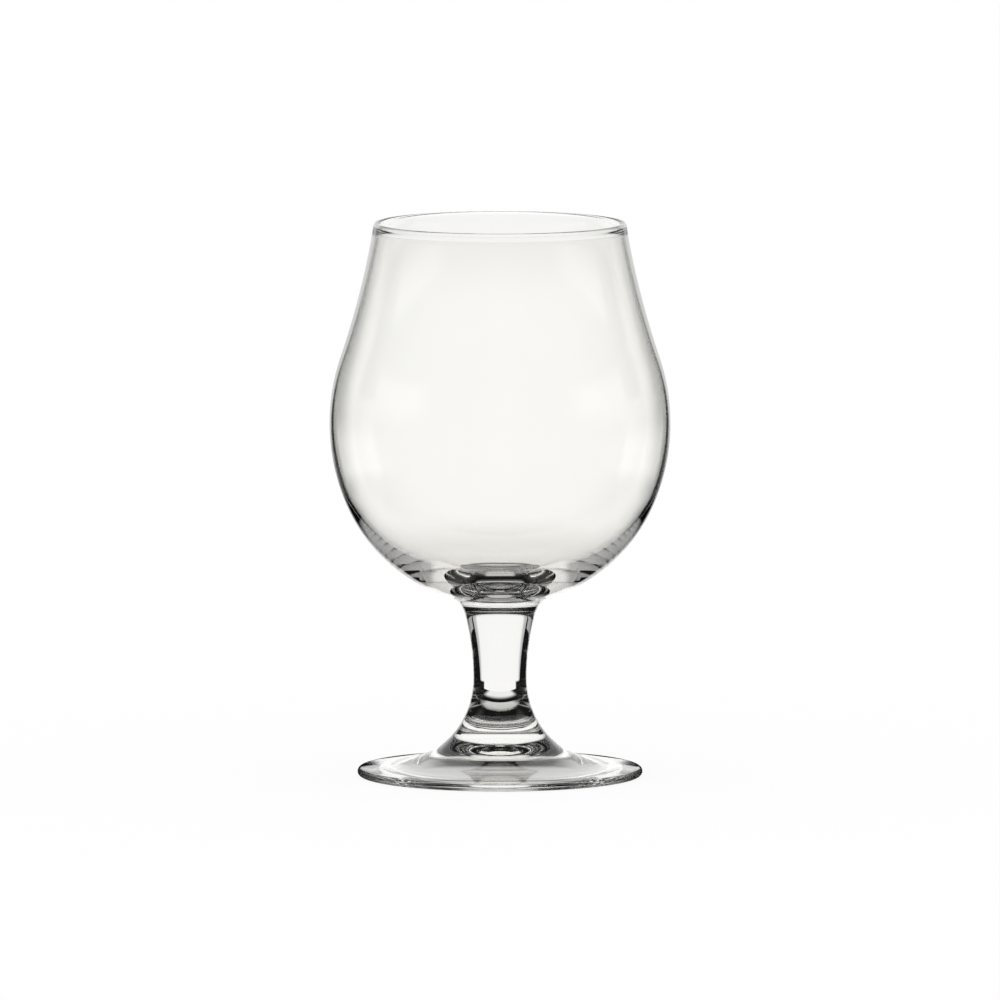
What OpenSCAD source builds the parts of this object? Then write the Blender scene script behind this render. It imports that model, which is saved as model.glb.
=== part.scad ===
// Tulip beer glass: a thin blown bowl, a solid waisted stem and a round pressed foot.
// The three pieces are turned about one axis and are fused to each other, flat face to flat face.
// All lengths are in millimetres. The glass stands on z = 0, and its axis is the z axis.

/* [Bowl] */
// Height of the bowl, from the face that is fused to the stem up to the rim
bowl_h = 102; // [90:0.1:120]
// Widest outside diameter of the bowl
belly_d = 92; // [84:0.1:100]
// How far past the axis the centre of the outer side curve lies
side_offset = 9.8; // [5:0.1:15]
// How far below the belly the centre of the rounded bottom lies
dome_drop = 4.2; // [2:0.1:9]
// Radius of the hollow curve that runs from the belly up to the rim
flare_r = 240; // [140:1:500]
// Wall at the belly
belly_wall = 1; // [0.6:0.05:2]
// How far past the axis the centre of the inner side curve lies
inner_offset = 7; // [5:0.1:9]
// Glass between the face that is fused to the stem and the lowest point inside
floor_t = 3; // [2:0.1:5]
// Radius of the shallow floor inside
floor_r = 50; // [47:1:80]
// Radius of the curve that runs from the floor up to the side, inside
shoulder_r = 38; // [30:1:42]

/* [Rim] */
// Outside diameter of the rim
rim_d = 68.4; // [60:0.1:80]
// Thickness of the rounded lip
lip_t = 1.85; // [1.6:0.05:3]
// Wall just below the lip
rim_wall = 1.3; // [0.8:0.05:1.5]
// Radius of the blend from the lip to the wall, inside
lip_blend_r = 6; // [2:0.5:12]

/* [Stem] */
// Height of the stem, from fused face to fused face
stem_h = 34.2; // [26:0.1:60]
// Diameter of the stem at its narrowest
waist_d = 14.4; // [10:0.1:17]
// Height of the narrowest place above the foot
waist_h = 12.6; // [10:0.1:18]
// Diameter where the stem is fused to the bowl
stem_top_d = 24.2; // [20:0.1:28]
// Diameter where the stem is fused to the foot
stem_base_d = 21.6; // [18:0.1:26]
// Height of the collar that spreads under the bowl
collar_h = 4.4; // [3:0.1:6]
// How far the collar spreads out
collar_w = 2.7; // [2:0.1:4]

/* [Foot] */
// Diameter of the foot over its rounded edge
foot_d = 77; // [64:0.1:100]
// Height of the foot, up to the face that is fused to the stem
foot_h = 13.8; // [10:0.1:18]
// Thickness of the rounded edge
edge_t = 2.3; // [1.4:0.1:3.5]
// Slope of the foot's top, in degrees
foot_slope = 8.2; // [5:0.1:11]
// Width of the flat ring that the glass stands on
ring_w = 14.5; // [8:0.5:20]
// Height of the hollow under the middle of the foot
hollow_h = 8.2; // [1:0.1:9.5]

/* [Smoothness] */
// Longest straight step along a curve
step = 1.5; // [0.8:0.1:3]
// Steps round a full turn
$fn = 180; // [90:6:360]

/* [Hidden] */
glass = [0.88, 0.92, 0.91, 0.35];
least_steps = 8;
grain = 0.00001;

// Heights of the two fused faces and of the rim
base_z = foot_h;
joint_z = base_z + stem_h;
rim_z = joint_z + bowl_h;

// Radii of the two fused faces and of the waist
joint_r = stem_top_d / 2;
base_r = stem_base_d / 2;
waist_r = waist_d / 2;

// One of the two points where two circles cross: the one to the right of the way from a to b
function crossing(a, ra, b, rb) =
    let (gap = b - a)
    let (d = norm(gap))
    let (along = (ra * ra - rb * rb + d * d) / (2 * d))
    let (aside = sqrt(ra * ra - along * along))
    a + along * gap / d + aside * [gap.y, -gap.x] / d;

// Direction from one point to another, in degrees
function bearing(a, b) = atan2(b.y - a.y, b.x - a.x);

// Point on a circle
function on_circle(c, r, a) = c + r * [cos(a), sin(a)];

// Points along an arc that takes the shorter way round, without its first point: the line before ends there
function arc(c, r, a0, a1) =
    let (sweep = (a1 - a0 + 900) % 360 - 180)
    let (n = max(least_steps, ceil(abs(sweep) * r * PI / 180 / step)))
    [for (i = [1 : n]) on_circle(c, r, a0 + sweep * i / n)];

// Radius of the arc that starts straight ahead and has gone aside by one length after going ahead by another
function arc_r(aside, ahead) = (aside * aside + ahead * ahead) / (2 * aside);

// Outside of the bowl: rounded bottom, side and flare, each touching the next, then the lip
belly_r = belly_d / 2;
side_r = belly_r + side_offset;
dome_r = side_r - norm([side_offset, dome_drop]);
dome_c = [0, joint_z + sqrt(dome_r * dome_r - joint_r * joint_r)];
belly_z = dome_c.y + dome_drop;
side_c = [-side_offset, belly_z];
lip_r = lip_t / 2;
lip_c = [rim_d / 2 - lip_r, rim_z - lip_r];
flare_c = crossing(side_c, side_r + flare_r, lip_c, flare_r + lip_r);

dome_start = bearing(dome_c, [joint_r, joint_z]);
dome_end = bearing(side_c, dome_c);
side_end = bearing(side_c, flare_c);
flare_end = bearing(flare_c, lip_c);

// Inside of the bowl: the same kind of curves, with a wall of its own thickness
inner_belly_r = belly_r - belly_wall;
inner_side_r = inner_belly_r + inner_offset;
inner_side_c = [-inner_offset, belly_z];
floor_c = [0, joint_z + floor_t + floor_r];
shoulder_c = crossing(inner_side_c, inner_side_r - shoulder_r, floor_c, floor_r - shoulder_r);
wall_top = [rim_d / 2 - rim_wall, lip_c.y];
inner_flare_c = crossing(inner_side_c, inner_side_r + flare_r, wall_top, flare_r);
blend_c = crossing(lip_c, lip_r + lip_blend_r, inner_flare_c, flare_r + lip_blend_r);

lip_end = bearing(lip_c, blend_c);
blend_end = bearing(blend_c, inner_flare_c);
inner_flare_start = bearing(inner_flare_c, blend_c);
inner_flare_end = bearing(inner_flare_c, inner_side_c);
inner_side_start = bearing(inner_side_c, inner_flare_c);
inner_side_end = bearing(inner_side_c, shoulder_c);
shoulder_end = bearing(floor_c, shoulder_c);

bowl_outline = concat(
    [[0, joint_z], [joint_r, joint_z]],
    arc(dome_c, dome_r, dome_start, dome_end),
    arc(side_c, side_r, dome_end, side_end),
    arc(flare_c, flare_r, side_end + 180, flare_end),
    arc(lip_c, lip_r, flare_end - 180, 90),
    arc(lip_c, lip_r, 90, lip_end),
    arc(blend_c, lip_blend_r, lip_end - 180, blend_end),
    arc(inner_flare_c, flare_r, inner_flare_start, inner_flare_end),
    arc(inner_side_c, inner_side_r, inner_side_start, inner_side_end),
    arc(shoulder_c, shoulder_r, inner_side_end, shoulder_end),
    arc(floor_c, floor_r, shoulder_end, -90)
);

// Stem: two hollow curves that meet upright at the waist, and a tighter one for the collar
waist_z = base_z + waist_h;
lower_r = arc_r(base_r - waist_r, waist_h);
lower_c = [waist_r + lower_r, waist_z];
lower_turn = asin(waist_h / lower_r);
collar_start = [joint_r - collar_w, joint_z - collar_h];
upper_h = collar_start.y - waist_z;
upper_r = arc_r(collar_start.x - waist_r, upper_h);
upper_c = [waist_r + upper_r, waist_z];
upper_turn = asin(upper_h / upper_r);

// The collar's curve leaves the upper curve smoothly and ends at the edge of the fused face
collar_run = [collar_w, collar_h];
collar_side = [cos(upper_turn), -sin(upper_turn)];
collar_r = (collar_run * collar_run) / (2 * collar_run * collar_side);
collar_c = collar_start + collar_r * collar_side;
collar_end = bearing(collar_c, [joint_r, joint_z]);

stem_outline = concat(
    [[0, base_z], [base_r, base_z]],
    arc(lower_c, lower_r, 180 + lower_turn, 180),
    arc(upper_c, upper_r, 180, 180 - upper_turn),
    arc(collar_c, collar_r, 180 - upper_turn, collar_end),
    [[0, joint_z]]
);

// Foot: the stem's curve runs on in a sweep that eases on to a gently sloping top
foot_r = foot_d / 2;
edge_r = edge_t / 2;
edge_c = [foot_r - edge_r, edge_r];
ring_r = edge_c.x - ring_w;
hollow_r = arc_r(hollow_h, ring_r);
hollow_c = [0, hollow_h - hollow_r];
hollow_turn = asin(ring_r / hollow_r);

// The sweep touches the stem's slant and the foot's slope, as a fillet between two straight lines does
top_up = [sin(foot_slope), cos(foot_slope)];
top_start = edge_c + edge_r * top_up;
stem_slant = [sin(lower_turn), -cos(lower_turn)];
slant_start = [base_r, base_z];
slant_l = ((slant_start - top_start) * top_up) / -(stem_slant * top_up);
sweep_turn = 90 - foot_slope - lower_turn;
sweep_r = slant_l / tan(sweep_turn / 2);
sweep_c = slant_start + sweep_r * [cos(lower_turn), sin(lower_turn)];

foot_outline = concat(
    [[0, hollow_h]],
    arc(hollow_c, hollow_r, 90, 90 - hollow_turn),
    [[edge_c.x, 0]],
    arc(edge_c, edge_r, -90, 90 - foot_slope),
    [sweep_c - sweep_r * top_up],
    arc(sweep_c, sweep_r, 270 - foot_slope, 180 + lower_turn),
    [[0, base_z]]
);

// A length kept to a fine grain, so that flat faces and the axis stay true
function true_to_grain(v) = round(v / grain) * grain;

// A solid of revolution from an outline of radius and height
module turned(outline) {
    rotate_extrude()
        polygon([for (p = outline) [true_to_grain(p.x), true_to_grain(p.y)]]);
}

module bowl() {
    color(glass)
        turned(bowl_outline);
}

module stem() {
    color(glass)
        turned(stem_outline);
}

module foot() {
    color(glass)
        turned(foot_outline);
}

bowl();
stem();
foot();
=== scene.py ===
import math
import bmesh
import bpy
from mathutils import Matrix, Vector


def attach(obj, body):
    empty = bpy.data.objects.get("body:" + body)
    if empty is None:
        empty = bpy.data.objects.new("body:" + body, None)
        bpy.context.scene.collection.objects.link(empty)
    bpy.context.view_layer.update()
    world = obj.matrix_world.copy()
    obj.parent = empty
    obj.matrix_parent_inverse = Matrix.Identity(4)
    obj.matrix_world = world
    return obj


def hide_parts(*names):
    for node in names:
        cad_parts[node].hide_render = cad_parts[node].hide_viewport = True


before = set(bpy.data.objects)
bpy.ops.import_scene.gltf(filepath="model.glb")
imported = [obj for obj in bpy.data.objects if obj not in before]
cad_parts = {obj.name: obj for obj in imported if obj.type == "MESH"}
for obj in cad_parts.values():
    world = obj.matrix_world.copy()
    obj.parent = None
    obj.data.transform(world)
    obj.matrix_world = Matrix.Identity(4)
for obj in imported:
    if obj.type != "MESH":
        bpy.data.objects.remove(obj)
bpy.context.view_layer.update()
scene = bpy.context.scene
mm = 0.001    # sizes below are in millimetres, as the part's own drawing gives them
quarter, half, full = math.pi / 2, math.pi, 2 * math.pi    # turns
white = (1, 1, 1, 1)

lathe = {
    "segments": 224,
    "leastSteps": 18,      # along one arc
    "closeBy": 2e-6,       # in metres, for points that are merged and faces that are fused
}


# curves that the outlines are made of

def crossing(a, ra, b, rb):    # where two circles cross, right of the way from a to b
    gap = b - a
    d = gap.length
    along = (ra * ra - rb * rb + d * d) / (2 * d)
    aside = math.sqrt(ra * ra - along * along)
    return a + gap * (along / d) + Vector((gap.y, -gap.x)) * (aside / d)


def bearing(a, b):
    return math.atan2(b.y - a.y, b.x - a.x)


def arc(c, r, a0, a1, step):    # the shorter way round, without its first point
    sweep = (a1 - a0 + 5 * half) % full - half
    n = max(lathe["leastSteps"], math.ceil(abs(sweep) * r / step))
    angles = [a0 + sweep * i / n for i in range(1, n + 1)]
    return [c + r * Vector((math.cos(a), math.sin(a))) for a in angles]


def arcRadius(aside, ahead):    # of an arc that starts straight ahead
    return (aside * aside + ahead * ahead) / (2 * aside)


# foot and stem: the stem's lower curve runs on into the foot

foot = {
    "across": 77.0,
    "height": 13.8,
    "edgeThick": 2.3,
    "slope": 8.2,          # of the top, in degrees
    "ringWidth": 14.5,     # flat ring that the glass stands on
    "hollowHeight": 8.2,
    "rowStep": 0.4,        # widest gap between the rings of the mesh
}
stem = {
    "height": 34.2,
    "waistAcross": 14.4,
    "waistHeight": 12.6,
    "topAcross": 24.2,
    "baseAcross": 21.6,
    "collarHeight": 4.4,
    "collarWidth": 2.7,
    "rowStep": 0.35,
}
baseZ = foot["height"]    # heights and radii of the two fused faces
jointZ = baseZ + stem["height"]
baseR = stem["baseAcross"] / 2
jointR = stem["topAcross"] / 2
waistR = stem["waistAcross"] / 2
lowerR = arcRadius(baseR - waistR, stem["waistHeight"])
lowerTurn = math.asin(stem["waistHeight"] / lowerR)


def footOutline():
    step = foot["rowStep"]
    edgeR = foot["edgeThick"] / 2
    edgeC = Vector((foot["across"] / 2 - edgeR, edgeR))
    ringR = edgeC.x - foot["ringWidth"]
    hollowR = arcRadius(foot["hollowHeight"], ringR)
    hollowC = Vector((0, foot["hollowHeight"] - hollowR))
    slope = math.radians(foot["slope"])
    topUp = Vector((math.sin(slope), math.cos(slope)))
    slant = Vector((math.sin(lowerTurn), -math.cos(lowerTurn)))
    start = Vector((baseR, baseZ))
    slantLength = (start - edgeC - edgeR * topUp).dot(topUp) / -slant.dot(topUp)
    sweepR = slantLength / math.tan((quarter - slope - lowerTurn) / 2)
    sweepC = start + sweepR * Vector((math.cos(lowerTurn), math.sin(lowerTurn)))
    points = [Vector((0, foot["hollowHeight"]))]
    points += arc(hollowC, hollowR, quarter, bearing(hollowC, Vector((ringR, 0))), step)
    points += [Vector((edgeC.x, 0))]
    points += arc(edgeC, edgeR, -quarter, quarter - slope, step)
    points += [sweepC - sweepR * topUp]
    points += arc(sweepC, sweepR, -quarter - slope, half + lowerTurn, step)
    return points + [Vector((0, baseZ))]


def stemOutline():
    step = stem["rowStep"]
    waistZ = baseZ + stem["waistHeight"]
    collar = Vector((stem["collarWidth"], stem["collarHeight"]))
    joint = Vector((jointR, jointZ))
    start = joint - collar
    upperH = start.y - waistZ
    upperR = arcRadius(start.x - waistR, upperH)
    upperTurn = math.asin(upperH / upperR)
    side = Vector((math.cos(upperTurn), -math.sin(upperTurn)))
    collarR = collar.length_squared / (2 * collar.dot(side))
    collarC = start + collarR * side
    points = [Vector((0, baseZ)), Vector((baseR, baseZ))]
    points += arc(Vector((waistR + lowerR, waistZ)), lowerR, half + lowerTurn, half, step)
    points += arc(Vector((waistR + upperR, waistZ)), upperR, half, half - upperTurn, step)
    points += arc(collarC, collarR, half - upperTurn, bearing(collarC, joint), step)
    return points + [Vector((0, jointZ))]


bowl = {
    "height": 102.0,       # from the fused face to the rim
    "bellyAcross": 92.0,
    "sideOffset": 9.8,     # centre of the side curve, past the axis
    "domeDrop": 4.2,       # centre of the rounded bottom, below the belly
    "flareRadius": 240.0,
    "bellyWall": 1.0,
    "innerOffset": 7.0,    # as sideOffset, inside
    "floorThick": 3.0,
    "floorRadius": 50.0,   # curve of the floor inside
    "shoulderRadius": 38.0,    # curve from the floor up to the side
    "rimAcross": 68.4,
    "lipThick": 1.85,
    "rimWall": 1.3,        # just below the lip
    "lipBlend": 6.0,
    "rowStep": 0.8,
}


def bowlOutline():
    step = bowl["rowStep"]
    offset, drop, flareR = bowl["sideOffset"], bowl["domeDrop"], bowl["flareRadius"]
    bellyR = bowl["bellyAcross"] / 2
    rimR, rimZ = bowl["rimAcross"] / 2, jointZ + bowl["height"]
    sideR = bellyR + offset
    domeR = sideR - math.hypot(offset, drop)
    domeC = Vector((0, jointZ + math.sqrt(domeR ** 2 - jointR ** 2)))
    sideC = Vector((-offset, domeC.y + drop))
    lipR = bowl["lipThick"] / 2
    lipC = Vector((rimR - lipR, rimZ - lipR))
    flareC = crossing(sideC, sideR + flareR, lipC, flareR + lipR)
    inOffset = bowl["innerOffset"]
    inSideR = bellyR - bowl["bellyWall"] + inOffset
    inSideC = Vector((-inOffset, sideC.y))
    floorR, shoulderR = bowl["floorRadius"], bowl["shoulderRadius"]
    floorC = Vector((0, jointZ + bowl["floorThick"] + floorR))
    shoulderC = crossing(inSideC, inSideR - shoulderR, floorC, floorR - shoulderR)
    wallTop = Vector((rimR - bowl["rimWall"], lipC.y))
    inFlareC = crossing(inSideC, inSideR + flareR, wallTop, flareR)
    blendR = bowl["lipBlend"]
    blendC = crossing(lipC, lipR + blendR, inFlareC, flareR + blendR)
    joint = Vector((jointR, jointZ))
    points = [Vector((0, jointZ)), joint]
    points += arc(domeC, domeR, bearing(domeC, joint), bearing(sideC, domeC), step)
    points += arc(sideC, sideR, bearing(sideC, domeC), bearing(sideC, flareC), step)
    points += arc(flareC, flareR, bearing(flareC, sideC), bearing(flareC, lipC), step)
    points += arc(lipC, lipR, bearing(lipC, flareC), quarter, step)
    points += arc(lipC, lipR, quarter, bearing(lipC, blendC), step)
    points += arc(blendC, blendR, bearing(blendC, lipC), bearing(blendC, inFlareC), step)
    points += arc(inFlareC, flareR, bearing(inFlareC, blendC), bearing(inFlareC, inSideC), step)
    points += arc(inSideC, inSideR, bearing(inSideC, inFlareC), bearing(inSideC, shoulderC), step)
    points += arc(shoulderC, shoulderR, bearing(inSideC, shoulderC), bearing(floorC, shoulderC), step)
    points += arc(floorC, floorR, bearing(floorC, shoulderC), -quarter, step)
    return points


# the lathe: turns an outline, given as a string of points, about the z axis

def latheTree():
    tree = bpy.data.node_groups.new("lathe", "GeometryNodeTree")
    sockets = (
        ("Outline", "Geometry"), ("Segments", "Int"), ("Lower Weld", "Float"), ("Upper Weld", "Float"),
        ("Glass", "Material"), ("Weld", "Material"),
    )
    for title, kind in sockets:
        tree.interface.new_socket(title, in_out="INPUT", socket_type="NodeSocket" + kind)
    tree.interface.new_socket("Turned", in_out="OUTPUT", socket_type="NodeSocketGeometry")
    add, link = tree.nodes.new, tree.links.new
    given = add("NodeGroupInput")

    def number(operation, a, b=None):
        node = add("ShaderNodeMath")
        node.operation = operation
        for socket, value in zip(node.inputs, (a, b)):
            if isinstance(value, (int, float)):
                socket.default_value = value
            elif value is not None:
                link(value, socket)
        return node.outputs[0]

    # a sheet with one row for each point of the outline, bent round the axis
    count = add("GeometryNodeAttributeDomainSize")
    link(given.outputs["Outline"], count.inputs[0])
    columns = number("ADD", given.outputs["Segments"], 1)
    sheet = add("GeometryNodeMeshGrid")
    link(count.outputs["Point Count"], sheet.inputs["Vertices X"])
    link(columns, sheet.inputs["Vertices Y"])
    index = add("GeometryNodeInputIndex").outputs[0]
    row = number("FLOOR", number("DIVIDE", number("ADD", index, 0.5), columns))    # 0.5 guards the rounding
    column = number("SUBTRACT", index, number("MULTIPLY", row, columns))
    angle = number("MULTIPLY", number("DIVIDE", column, given.outputs["Segments"]), full)
    sample = add("GeometryNodeSampleIndex")
    sample.data_type = "FLOAT_VECTOR"
    link(given.outputs["Outline"], sample.inputs["Geometry"])
    link(add("GeometryNodeInputPosition").outputs[0], sample.inputs["Value"])
    link(row, sample.inputs["Index"])
    part = add("ShaderNodeSeparateXYZ")
    link(sample.outputs[0], part.inputs[0])
    spot = add("ShaderNodeCombineXYZ")
    link(number("MULTIPLY", part.outputs["X"], number("COSINE", angle)), spot.inputs["X"])
    link(number("MULTIPLY", part.outputs["X"], number("SINE", angle)), spot.inputs["Y"])
    link(part.outputs["Z"], spot.inputs["Z"])
    place = add("GeometryNodeSetPosition")
    link(sheet.outputs["Mesh"], place.inputs["Geometry"])
    link(spot.outputs[0], place.inputs["Position"])
    merge = add("GeometryNodeMergeByDistance")
    merge.inputs["Distance"].default_value = lathe["closeBy"]
    link(place.outputs[0], merge.inputs["Geometry"])

    # smooth, but for a crease round the fused faces, which have a material of their own
    height = add("ShaderNodeSeparateXYZ")
    link(add("GeometryNodeInputPosition").outputs[0], height.inputs[0])
    near = []
    for title in ("Lower Weld", "Upper Weld"):
        apart = number("ABSOLUTE", number("SUBTRACT", height.outputs["Z"], given.outputs[title]))
        near.append(number("LESS_THAN", apart, lathe["closeBy"]))
    atWeld = number("MAXIMUM", *near)
    smooth = add("GeometryNodeSetShadeSmooth")
    smooth.domain = "FACE"
    link(merge.outputs[0], smooth.inputs["Geometry"])
    crease = add("GeometryNodeSetShadeSmooth")
    crease.domain = "EDGE"
    crease.inputs["Shade Smooth"].default_value = False
    link(smooth.outputs[0], crease.inputs["Geometry"])
    link(atWeld, crease.inputs["Selection"])
    real = add("GeometryNodeRealizeInstances")
    link(crease.outputs[0], real.inputs[0])
    coat = add("GeometryNodeSetMaterial")
    link(real.outputs[0], coat.inputs["Geometry"])
    link(given.outputs["Glass"], coat.inputs["Material"])
    seal = add("GeometryNodeSetMaterial")
    link(coat.outputs[0], seal.inputs["Geometry"])
    link(atWeld, seal.inputs["Selection"])
    link(given.outputs["Weld"], seal.inputs["Material"])
    link(seal.outputs[0], add("NodeGroupOutput").inputs[0])
    print("lathe", len(tree.nodes), "nodes")
    return tree


def turn(name, outline, welds, glass, weld, tree):
    spots = [(p.x * mm, 0, p.y * mm) for p in outline]
    line = bpy.data.meshes.new(name + "Outline")
    line.from_pydata(spots, [(i, i + 1) for i in range(len(spots) - 1)], [])
    work = bpy.data.objects.new(name + "Lathe", line)
    scene.collection.objects.link(work)
    lathing = work.modifiers.new("lathe", "NODES")
    lathing.node_group = tree
    values = {
        "Segments": lathe["segments"], "Lower Weld": welds[0] * mm, "Upper Weld": welds[1] * mm,
        "Glass": glass, "Weld": weld,
    }
    for socket in tree.interface.items_tree:
        if socket.name in values:
            lathing[socket.identifier] = values[socket.name]
    work.update_tag()
    turned = bpy.data.meshes.new_from_object(work.evaluated_get(bpy.context.evaluated_depsgraph_get()))
    bpy.data.objects.remove(work)
    bpy.data.meshes.remove(line)
    for i in reversed(range(len(turned.materials))):
        if turned.materials[i] is None:    # the empty slot of the grid
            turned.materials.pop(index=i)
    shape = bmesh.new()
    shape.from_mesh(turned)
    bmesh.ops.recalc_face_normals(shape, faces=shape.faces)
    shape.to_mesh(turned)
    loose = sum(not e.is_manifold for e in shape.edges)
    shape.free()
    turned.name = name
    piece = bpy.data.objects.new(name, turned)
    scene.collection.objects.link(piece)
    slots = [m.name for m in turned.materials]
    print("turned", name, len(turned.polygons), "faces", "open edges", loose, "slots", slots)
    return piece


# the glass: a faint cast, fine polish marks and the slow waves of hot glass, shared by the three pieces

clouds = {    # stretch and detail of each effect's noise, and the span of it that is used
    "tone": {"stretch": (1, 1, 1), "detail": 2.0, "span": (0.35, 0.65)},
    "polish": {"stretch": (1, 1, 0.35), "detail": 4.0, "span": (0.5, 0.75)},
    "waves": {"stretch": (1, 1, 0.6), "detail": 1.0},
}


def shaderGroup(name, given, result):
    group = bpy.data.node_groups.new(name, "ShaderNodeTree")
    for title, kind in given:
        group.interface.new_socket(title, in_out="INPUT", socket_type="NodeSocket" + kind)
    group.interface.new_socket(result[0], in_out="OUTPUT", socket_type="NodeSocket" + result[1])
    add, link = group.nodes.new, group.links.new
    return group, add, link, add("NodeGroupInput"), add("NodeGroupOutput")


def noise(add, link, scale, cloud):    # in object space, in metres
    stretched = add("ShaderNodeVectorMath")
    stretched.operation = "MULTIPLY"
    stretched.inputs[1].default_value = cloud["stretch"]
    link(add("ShaderNodeTexCoord").outputs["Object"], stretched.inputs[0])
    texture = add("ShaderNodeTexNoise")
    texture.inputs["Detail"].default_value = cloud["detail"]
    link(stretched.outputs[0], texture.inputs["Vector"])
    link(scale, texture.inputs["Scale"])
    return texture.outputs[0]


def noiseShare(add, link, scale, cloud):
    share = add("ShaderNodeMapRange")
    share.inputs["From Min"].default_value, share.inputs["From Max"].default_value = cloud["span"]
    link(noise(add, link, scale, cloud), share.inputs["Value"])
    return share


def toneGroup():    # clear to cast by the noise, then darker by height where the glass is thick
    group, add, link, given, result = shaderGroup(
        "glassTone", [
            ("Clear", "Color"), ("Cast", "Color"), ("Scale", "Float"),
            ("Deep", "Color"), ("Deep Start", "Float"), ("Deep End", "Float"),
        ],
        ("Color", "Color"),
    )

    def blend(factor, a, b, kind="MIX"):
        mix = add("ShaderNodeMix")
        mix.data_type, mix.blend_type = "RGBA", kind
        link(factor, mix.inputs["Factor"])
        ends = [socket for socket in mix.inputs if socket.type == "RGBA"]
        link(a, ends[0])
        link(b, ends[1])
        return next(socket for socket in mix.outputs if socket.type == "RGBA")

    share = noiseShare(add, link, given.outputs["Scale"], clouds["tone"])
    axes = add("ShaderNodeSeparateXYZ")
    link(add("ShaderNodeTexCoord").outputs["Object"], axes.inputs[0])
    thick = add("ShaderNodeMapRange")
    thick.interpolation_type = "SMOOTHSTEP"
    link(axes.outputs["Z"], thick.inputs["Value"])
    link(given.outputs["Deep Start"], thick.inputs["From Min"])
    link(given.outputs["Deep End"], thick.inputs["From Max"])
    toned = blend(share.outputs[0], given.outputs["Clear"], given.outputs["Cast"])
    link(blend(thick.outputs[0], toned, given.outputs["Deep"], "MULTIPLY"), result.inputs["Color"])
    return group


def polishGroup():
    group, add, link, given, result = shaderGroup(
        "polishMarks", [("Scale", "Float"), ("Least", "Float"), ("Most", "Float")], ("Roughness", "Float"),
    )
    share = noiseShare(add, link, given.outputs["Scale"], clouds["polish"])
    link(given.outputs["Least"], share.inputs["To Min"])
    link(given.outputs["Most"], share.inputs["To Max"])
    link(share.outputs[0], result.inputs["Roughness"])
    return group


def wavesGroup():
    group, add, link, given, result = shaderGroup("hotWaves", [("Scale", "Float")], ("Height", "Float"))
    link(noise(add, link, given.outputs["Scale"], clouds["waves"]), result.inputs["Height"])
    return group


effects = {"tone": toneGroup(), "polish": polishGroup(), "waves": wavesGroup()}
refraction = 1.52
bowlLook = {
    "clear": (1.0, 0.995, 0.978), "cast": (0.996, 0.994, 0.972), "toneScale": 16.0,
    "deep": (0.8, 0.785, 0.77), "deepFrom": 66.0, "deepTo": 51.0,    # where the bottom gets thick
    "markScale": 700.0, "least": 0.0, "most": 0.012, "waveScale": 34.0, "waveDepth": 0.02,
}
stemLook = {
    "clear": (0.91, 0.905, 0.888), "cast": (0.89, 0.892, 0.868), "toneScale": 60.0,
    "deep": (0.96, 0.955, 0.945), "deepFrom": 20.0, "deepTo": 14.0,
    "markScale": 900.0, "least": 0.0, "most": 0.01, "waveScale": 70.0, "waveDepth": 0.012,
}
footLook = {
    "clear": (0.95, 0.945, 0.925), "cast": (0.93, 0.93, 0.905), "toneScale": 40.0,
    "deep": (0.95, 0.945, 0.93), "deepFrom": 3.0, "deepTo": 0.0,
    "markScale": 800.0, "least": 0.002, "most": 0.02, "waveScale": 60.0, "waveDepth": 0.02,
}


def glassMaterial(name, look):
    mat = bpy.data.materials.new(name)
    mat.use_nodes = True
    nodes, link = mat.node_tree.nodes, mat.node_tree.links.new
    shader = nodes["Principled BSDF"]
    shader.inputs["IOR"].default_value = refraction
    shader.inputs["Transmission Weight"].default_value = 1.0

    def place(effect, values):
        node = nodes.new("ShaderNodeGroup")
        node.node_tree = effects[effect]
        for title, value in values.items():
            node.inputs[title].default_value = value
        return node.outputs[0]

    tone = {
        "Clear": (*look["clear"], 1), "Cast": (*look["cast"], 1), "Scale": look["toneScale"],
        "Deep": (*look["deep"], 1), "Deep Start": look["deepFrom"] * mm, "Deep End": look["deepTo"] * mm,
    }
    polish = {"Scale": look["markScale"], "Least": look["least"], "Most": look["most"]}
    link(place("tone", tone), shader.inputs["Base Color"])
    link(place("polish", polish), shader.inputs["Roughness"])
    bump = nodes.new("ShaderNodeBump")
    bump.inputs["Strength"].default_value = 1.0
    bump.inputs["Distance"].default_value = look["waveDepth"] * mm
    link(place("waves", {"Scale": look["waveScale"]}), bump.inputs["Height"])
    link(bump.outputs[0], shader.inputs["Normal"])
    print("glass", name)
    return mat


def weldMaterial():    # left clear, so that light runs on from piece to piece
    mat = bpy.data.materials.new("weld")
    mat.use_nodes = True
    mat.node_tree.nodes["Principled BSDF"].inputs["Alpha"].default_value = 0.0
    return mat


tree = latheTree()
weld = weldMaterial()
pieces = {
    "bowl": turn("glassBowl", bowlOutline(), (jointZ, jointZ), glassMaterial("bowlGlass", bowlLook), weld, tree),
    "stem": turn("glassStem", stemOutline(), (baseZ, jointZ), glassMaterial("stemGlass", stemLook), weld, tree),
    "foot": turn("glassFoot", footOutline(), (baseZ, baseZ), glassMaterial("footGlass", footLook), weld, tree),
}
for node, piece in pieces.items():
    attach(piece, "root")
    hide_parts(node)
print("pieces", list(pieces))

# the stage: a white floor, and for the glass alone a card behind it, a low strip of light round the sides,
# a dark curb and two wings further off; a level is a glow, and a span is where a glow sets in or ends

dark = 0.008    # what the glass sees past the cards


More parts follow.
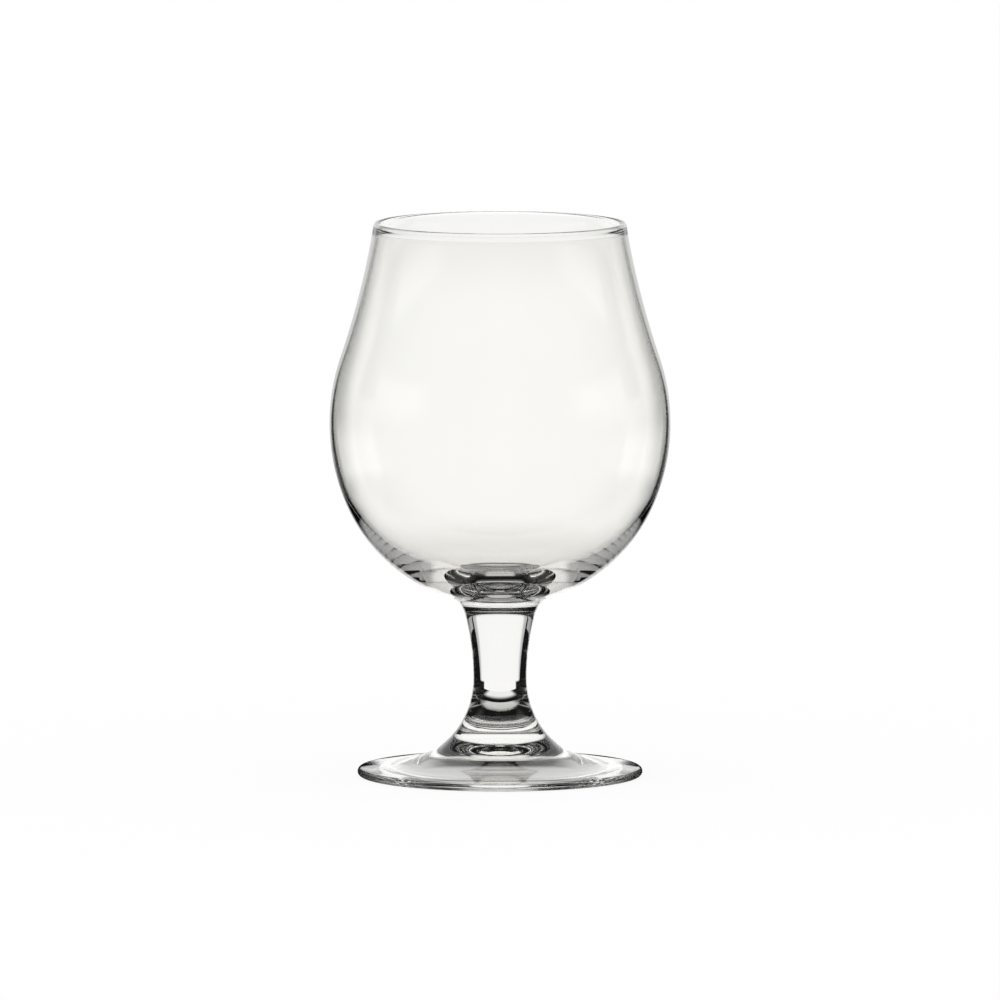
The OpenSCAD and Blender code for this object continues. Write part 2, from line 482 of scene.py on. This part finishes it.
class StageLook:    # one material of the stage, with small sums on its nodes
    def __init__(self, name):
        self.mat = bpy.data.materials.new(name)
        self.mat.use_nodes = True
        self.nodes, self.links = self.mat.node_tree.nodes, self.mat.node_tree.links
        self.nodes.clear()
        spot = self.nodes.new("ShaderNodeTexCoord").outputs["Object"]
        flat = self.nodes.new("ShaderNodeVectorMath")
        flat.operation = "MULTIPLY"
        flat.inputs[1].default_value = (1, 1, 0)
        self.links.new(spot, flat.inputs[0])
        away = self.nodes.new("ShaderNodeVectorMath")
        away.operation = "LENGTH"
        self.links.new(flat.outputs[0], away.inputs[0])
        self.radius = away.outputs["Value"]
        axes = self.nodes.new("ShaderNodeSeparateXYZ")
        self.links.new(spot, axes.inputs[0])
        self.x, self.y, self.z = axes.outputs
        self.aside = self.sum("ABSOLUTE", self.x)
        self.back = self.sum("DIVIDE", self.y, self.radius)    # 1 straight behind, -1 straight in front

    def sum(self, operation, *values):
        node = self.nodes.new("ShaderNodeMath")
        node.operation = operation
        for socket, value in zip(node.inputs, values):
            if isinstance(value, (int, float)):
                socket.default_value = value
            else:
                self.links.new(value, socket)
        return node.outputs[0]

    def ramp(self, value, span, top=1.0, unit=mm):    # from 0 at one end of the span to the top at the other
        node = self.nodes.new("ShaderNodeMapRange")
        node.interpolation_type = "SMOOTHSTEP"
        node.inputs["From Min"].default_value = span[0] * unit
        node.inputs["From Max"].default_value = span[1] * unit
        node.inputs["To Max"].default_value = top
        self.links.new(value, node.inputs["Value"])
        return node.outputs[0]

    def around(self, span, top=1.0):    # a ramp round the axis, from front to back
        return self.ramp(self.back, span, top, 1)

    def product(self, first, *others):
        for other in others:
            first = self.sum("MULTIPLY", first, other)
        return first

    def most(self, first, *others):
        for other in others:
            first = self.sum("MAXIMUM", first, other)
        return first

    def glow(self, level):
        node = self.nodes.new("ShaderNodeEmission")
        self.links.new(self.most(level, dark), node.inputs["Strength"])
        return node.outputs[0]

    def mixed(self, share, first, second):
        node = self.nodes.new("ShaderNodeMixShader")
        if isinstance(share, float):
            node.inputs[0].default_value = share
        else:
            self.links.new(share, node.inputs[0])
        self.links.new(first, node.inputs[1])
        self.links.new(second, node.inputs[2])
        return node.outputs[0]

    def done(self, shader):
        self.links.new(shader, self.nodes.new("ShaderNodeOutputMaterial").inputs["Surface"])
        print("stage look", self.mat.name)
        return self.mat


floor = {
    "radius": 14000.0, "below": 0.05, "sides": 64,
    "shadowShare": 0.12,       # how much of its look is shaded paper
    "behindStart": (48, 62), "behindAside": (27, 17),    # painted light, full white, from behind the foot on
    "closeLevel": 0.7, "closeStart": (20, 26), "closeEnd": (43, 37), "closeAside": (13, 8),    # a patch of painted light nearer by
    "frontLevel": 0.1, "frontStart": (60, 90), "frontAround": (0.1, -0.25),    # a dim painted glow of the floor in front of the glass
    "ringLevel": 0.45, "ringEnd": (37, 30), "ringFront": (-8, -16), "ringAside": (14, 22),    # a ring of painted light under the foot
}


def floorMaterial():    # white with a soft shadow to the camera; to the glass it glows in a few painted pools of light, and is dark elsewhere as painted shade
    look = StageLook("whiteFloorPaintedLight")
    behind = look.product(look.ramp(look.y, floor["behindStart"]), look.ramp(look.aside, floor["behindAside"]))
    close = look.product(
        look.ramp(look.y, floor["closeStart"], floor["closeLevel"]), look.ramp(look.y, floor["closeEnd"]),
        look.ramp(look.aside, floor["closeAside"]),
    )
    front = look.product(
        look.ramp(look.radius, floor["frontStart"], floor["frontLevel"]), look.around(floor["frontAround"]),
    )
    under = look.product(
        look.ramp(look.radius, floor["ringEnd"], floor["ringLevel"]),
        look.most(look.ramp(look.y, floor["ringFront"]), look.ramp(look.aside, floor["ringAside"])),
    )
    # painted light and shade: to the glass the floor glows where the patches above lie, and stays dark as painted
    # shade near and under the glass
    paintedFloorLight = look.glow(look.most(behind, close, front, under))
    paper = look.nodes.new("ShaderNodeBsdfDiffuse")
    paper.inputs["Color"].default_value = white
    bright = look.nodes.new("ShaderNodeEmission")
    shade = look.mixed(floor["shadowShare"], bright.outputs[0], paper.outputs[0])
    path = look.nodes.new("ShaderNodeLightPath")
    byGlass = look.most(path.outputs["Is Glossy Ray"], path.outputs["Is Transmission Ray"])
    return look.done(look.mixed(byGlass, shade, paintedFloorLight))


card = {
    "behind": 80.0,            # from the axis
    "halfWidth": 50.0,         # at the bottom
    "spread": 0.22,            # how much wider it gets per height, each side
    "height": 260.0,
    "level": 1.12, "flankLevel": 0.6, "core": (54, 42),    # bright middle and dimmer outer parts
    "dimBy": 0.12, "dimRise": (118, 144),                  # a little dimmer towards the top
    "cornerAside": (38, 34), "cornerRise": (10, 14),       # dark low corners, for the edge of the foot
}


def cardMaterial():
    look = StageLook("cardLight")
    core = look.ramp(look.aside, card["core"])
    dimming = look.ramp(look.z, card["dimRise"], card["dimBy"])
    extra = look.sum("SUBTRACT", card["level"] - card["flankLevel"], dimming)
    corners = look.most(look.ramp(look.aside, card["cornerAside"]), look.ramp(look.z, card["cornerRise"]))
    level = look.product(look.sum("ADD", look.product(core, extra), card["flankLevel"]), corners)
    return look.done(look.glow(level))


screens = {"sides": 96, "below": 0.04}    # sides in a full turn; how far below the ground they start
wall = {
    "radius": 100.0, "height": 420.0, "reach": (-1, 0.5),
    "stripLevel": 0.55, "stripStart": (52, 66), "stripEnd": (100, 78),    # level with the bottom of the bowl
    "level": 0.05, "start": (42, 72), "end": (420, 90), "around": (0.5, 0.2),    # dim light above the strip
    "frontEnd": (-0.6, -0.15), "backEnd": (0.53, 0.5),
}
curb = {"radius": 100.0, "height": 60.0, "reach": (0.5, 0.76)}    # dark, between the wall and the card
wings = {
    "radius": 300.0, "height": 200.0, "reach": (0.2, 0.75),    # seen above the curb
    "level": 0.55, "start": (30, 45), "end": (200, 170), "frontEnd": (0.24, 0.31), "backEnd": (0.72, 0.67),
}


def wallMaterial():    # the curb has it too, and lies where it stays dark
    look = StageLook("sideLight")
    strip = look.product(
        look.ramp(look.z, wall["stripStart"], wall["stripLevel"]), look.ramp(look.z, wall["stripEnd"]),
    )
    tall = look.product(
        look.ramp(look.z, wall["end"], wall["level"]), look.ramp(look.z, wall["start"]), look.around(wall["around"]),
    )
    ends = look.product(look.around(wall["frontEnd"]), look.around(wall["backEnd"]))
    return look.done(look.glow(look.product(look.most(strip, tall), ends)))


def wingMaterial():    # soft at all four sides
    look = StageLook("wingLight")
    level = look.product(
        look.around(wings["backEnd"], wings["level"]), look.around(wings["frontEnd"]),
        look.ramp(look.z, wings["start"]), look.ramp(look.z, wings["end"]),
    )
    return look.done(look.glow(level))


def plate(name, corners, mat, faces=None):    # one face, or those given
    mesh = bpy.data.meshes.new(name)
    spots = [tuple(c * mm for c in corner) for corner in corners]
    mesh.from_pydata(spots, [], faces or [tuple(range(len(spots)))])
    mesh.materials.append(mat)
    board = bpy.data.objects.new(name, mesh)
    scene.collection.objects.link(board)
    return board


def turnRound(radius, z, n):
    return [(radius * math.cos(full * i / n), radius * math.sin(full * i / n), z) for i in range(n)]


def screen(name, sizes, mat):    # upright, round the axis; its reach is its part from front to back
    n, (first, last) = screens["sides"], sizes["reach"]
    corners = turnRound(sizes["radius"], -screens["below"], n) + turnRound(sizes["radius"], sizes["height"], n)
    kept = [i for i in range(n) if first < math.sin(full * (i + 0.5) / n) < last]
    return plate(name, corners, mat, [(i, (i + 1) % n, (i + 1) % n + n, i + n) for i in kept])


camera = {
    "aim": 74.75, "elevation": 6.05, "distance": 5500.0,
    "lens": 733.5, "sensor": 36.0, "farthest": 60.0,    # the last in metres
}
view = bpy.data.cameras.new("camera")
view.lens = camera["lens"]
view.sensor_width = camera["sensor"]
view.clip_end = camera["farthest"]
eye = bpy.data.objects.new("camera", view)
scene.collection.objects.link(eye)
tilt = math.radians(camera["elevation"])
away = Vector((0, -math.cos(tilt), math.sin(tilt)))
eye.location = away * camera["distance"] * mm + Vector((0, 0, camera["aim"] * mm))
eye.rotation_euler = (quarter - tilt, 0, 0)
scene.camera = eye
print("camera", list(eye.location))

rig = bpy.data.objects.new("turntable", None)    # keeps the cards behind and beside the glass
scene.collection.objects.link(rig)
follow = rig.constraints.new("LOCKED_TRACK")
follow.target = eye
follow.track_axis = "TRACK_NEGATIVE_Y"
follow.lock_axis = "LOCK_Z"
low, depth, high = card["halfWidth"], card["behind"], card["height"]
top = low + high * card["spread"]
sideLight = wallMaterial()
ground = plate("floor", turnRound(floor["radius"], -floor["below"], floor["sides"]), floorMaterial())
lights = [
    plate("backCard", [(-low, depth, 0), (low, depth, 0), (top, depth, high), (-top, depth, high)], cardMaterial()),
    screen("sideWall", wall, sideLight),
    screen("curb", curb, sideLight),
    screen("wings", wings, wingMaterial()),
]
for board in [ground] + lights:
    board.parent = rig
for board in lights:    # only the glass sees them
    board.visible_camera = False
    board.visible_diffuse = False
    board.visible_shadow = False
print("stage", ground.name, [board.name for board in lights])

world = bpy.data.worlds.new("studio")    # white, but dark to the glass
scene.world = world
world.use_nodes = True
sky = world.node_tree
path = sky.nodes.new("ShaderNodeLightPath")
through = sky.nodes.new("ShaderNodeMath")
through.operation = "MAXIMUM"
sky.links.new(path.outputs["Is Glossy Ray"], through.inputs[0])
sky.links.new(path.outputs["Is Transmission Ray"], through.inputs[1])
level = sky.nodes.new("ShaderNodeMapRange")
level.inputs["To Min"].default_value = 1.0
level.inputs["To Max"].default_value = dark
sky.links.new(through.outputs[0], level.inputs["Value"])
sky.links.new(level.outputs[0], sky.nodes["Background"].inputs["Strength"])
sky.nodes["Background"].inputs["Color"].default_value = white
print("world", world.name)

bounces = 32    # light passes many walls of glass
scene.view_settings.view_transform = "Standard"
scene.cycles.max_bounces = bounces
scene.cycles.glossy_bounces = bounces
scene.cycles.transmission_bounces = bounces
scene.cycles.transparent_max_bounces = bounces
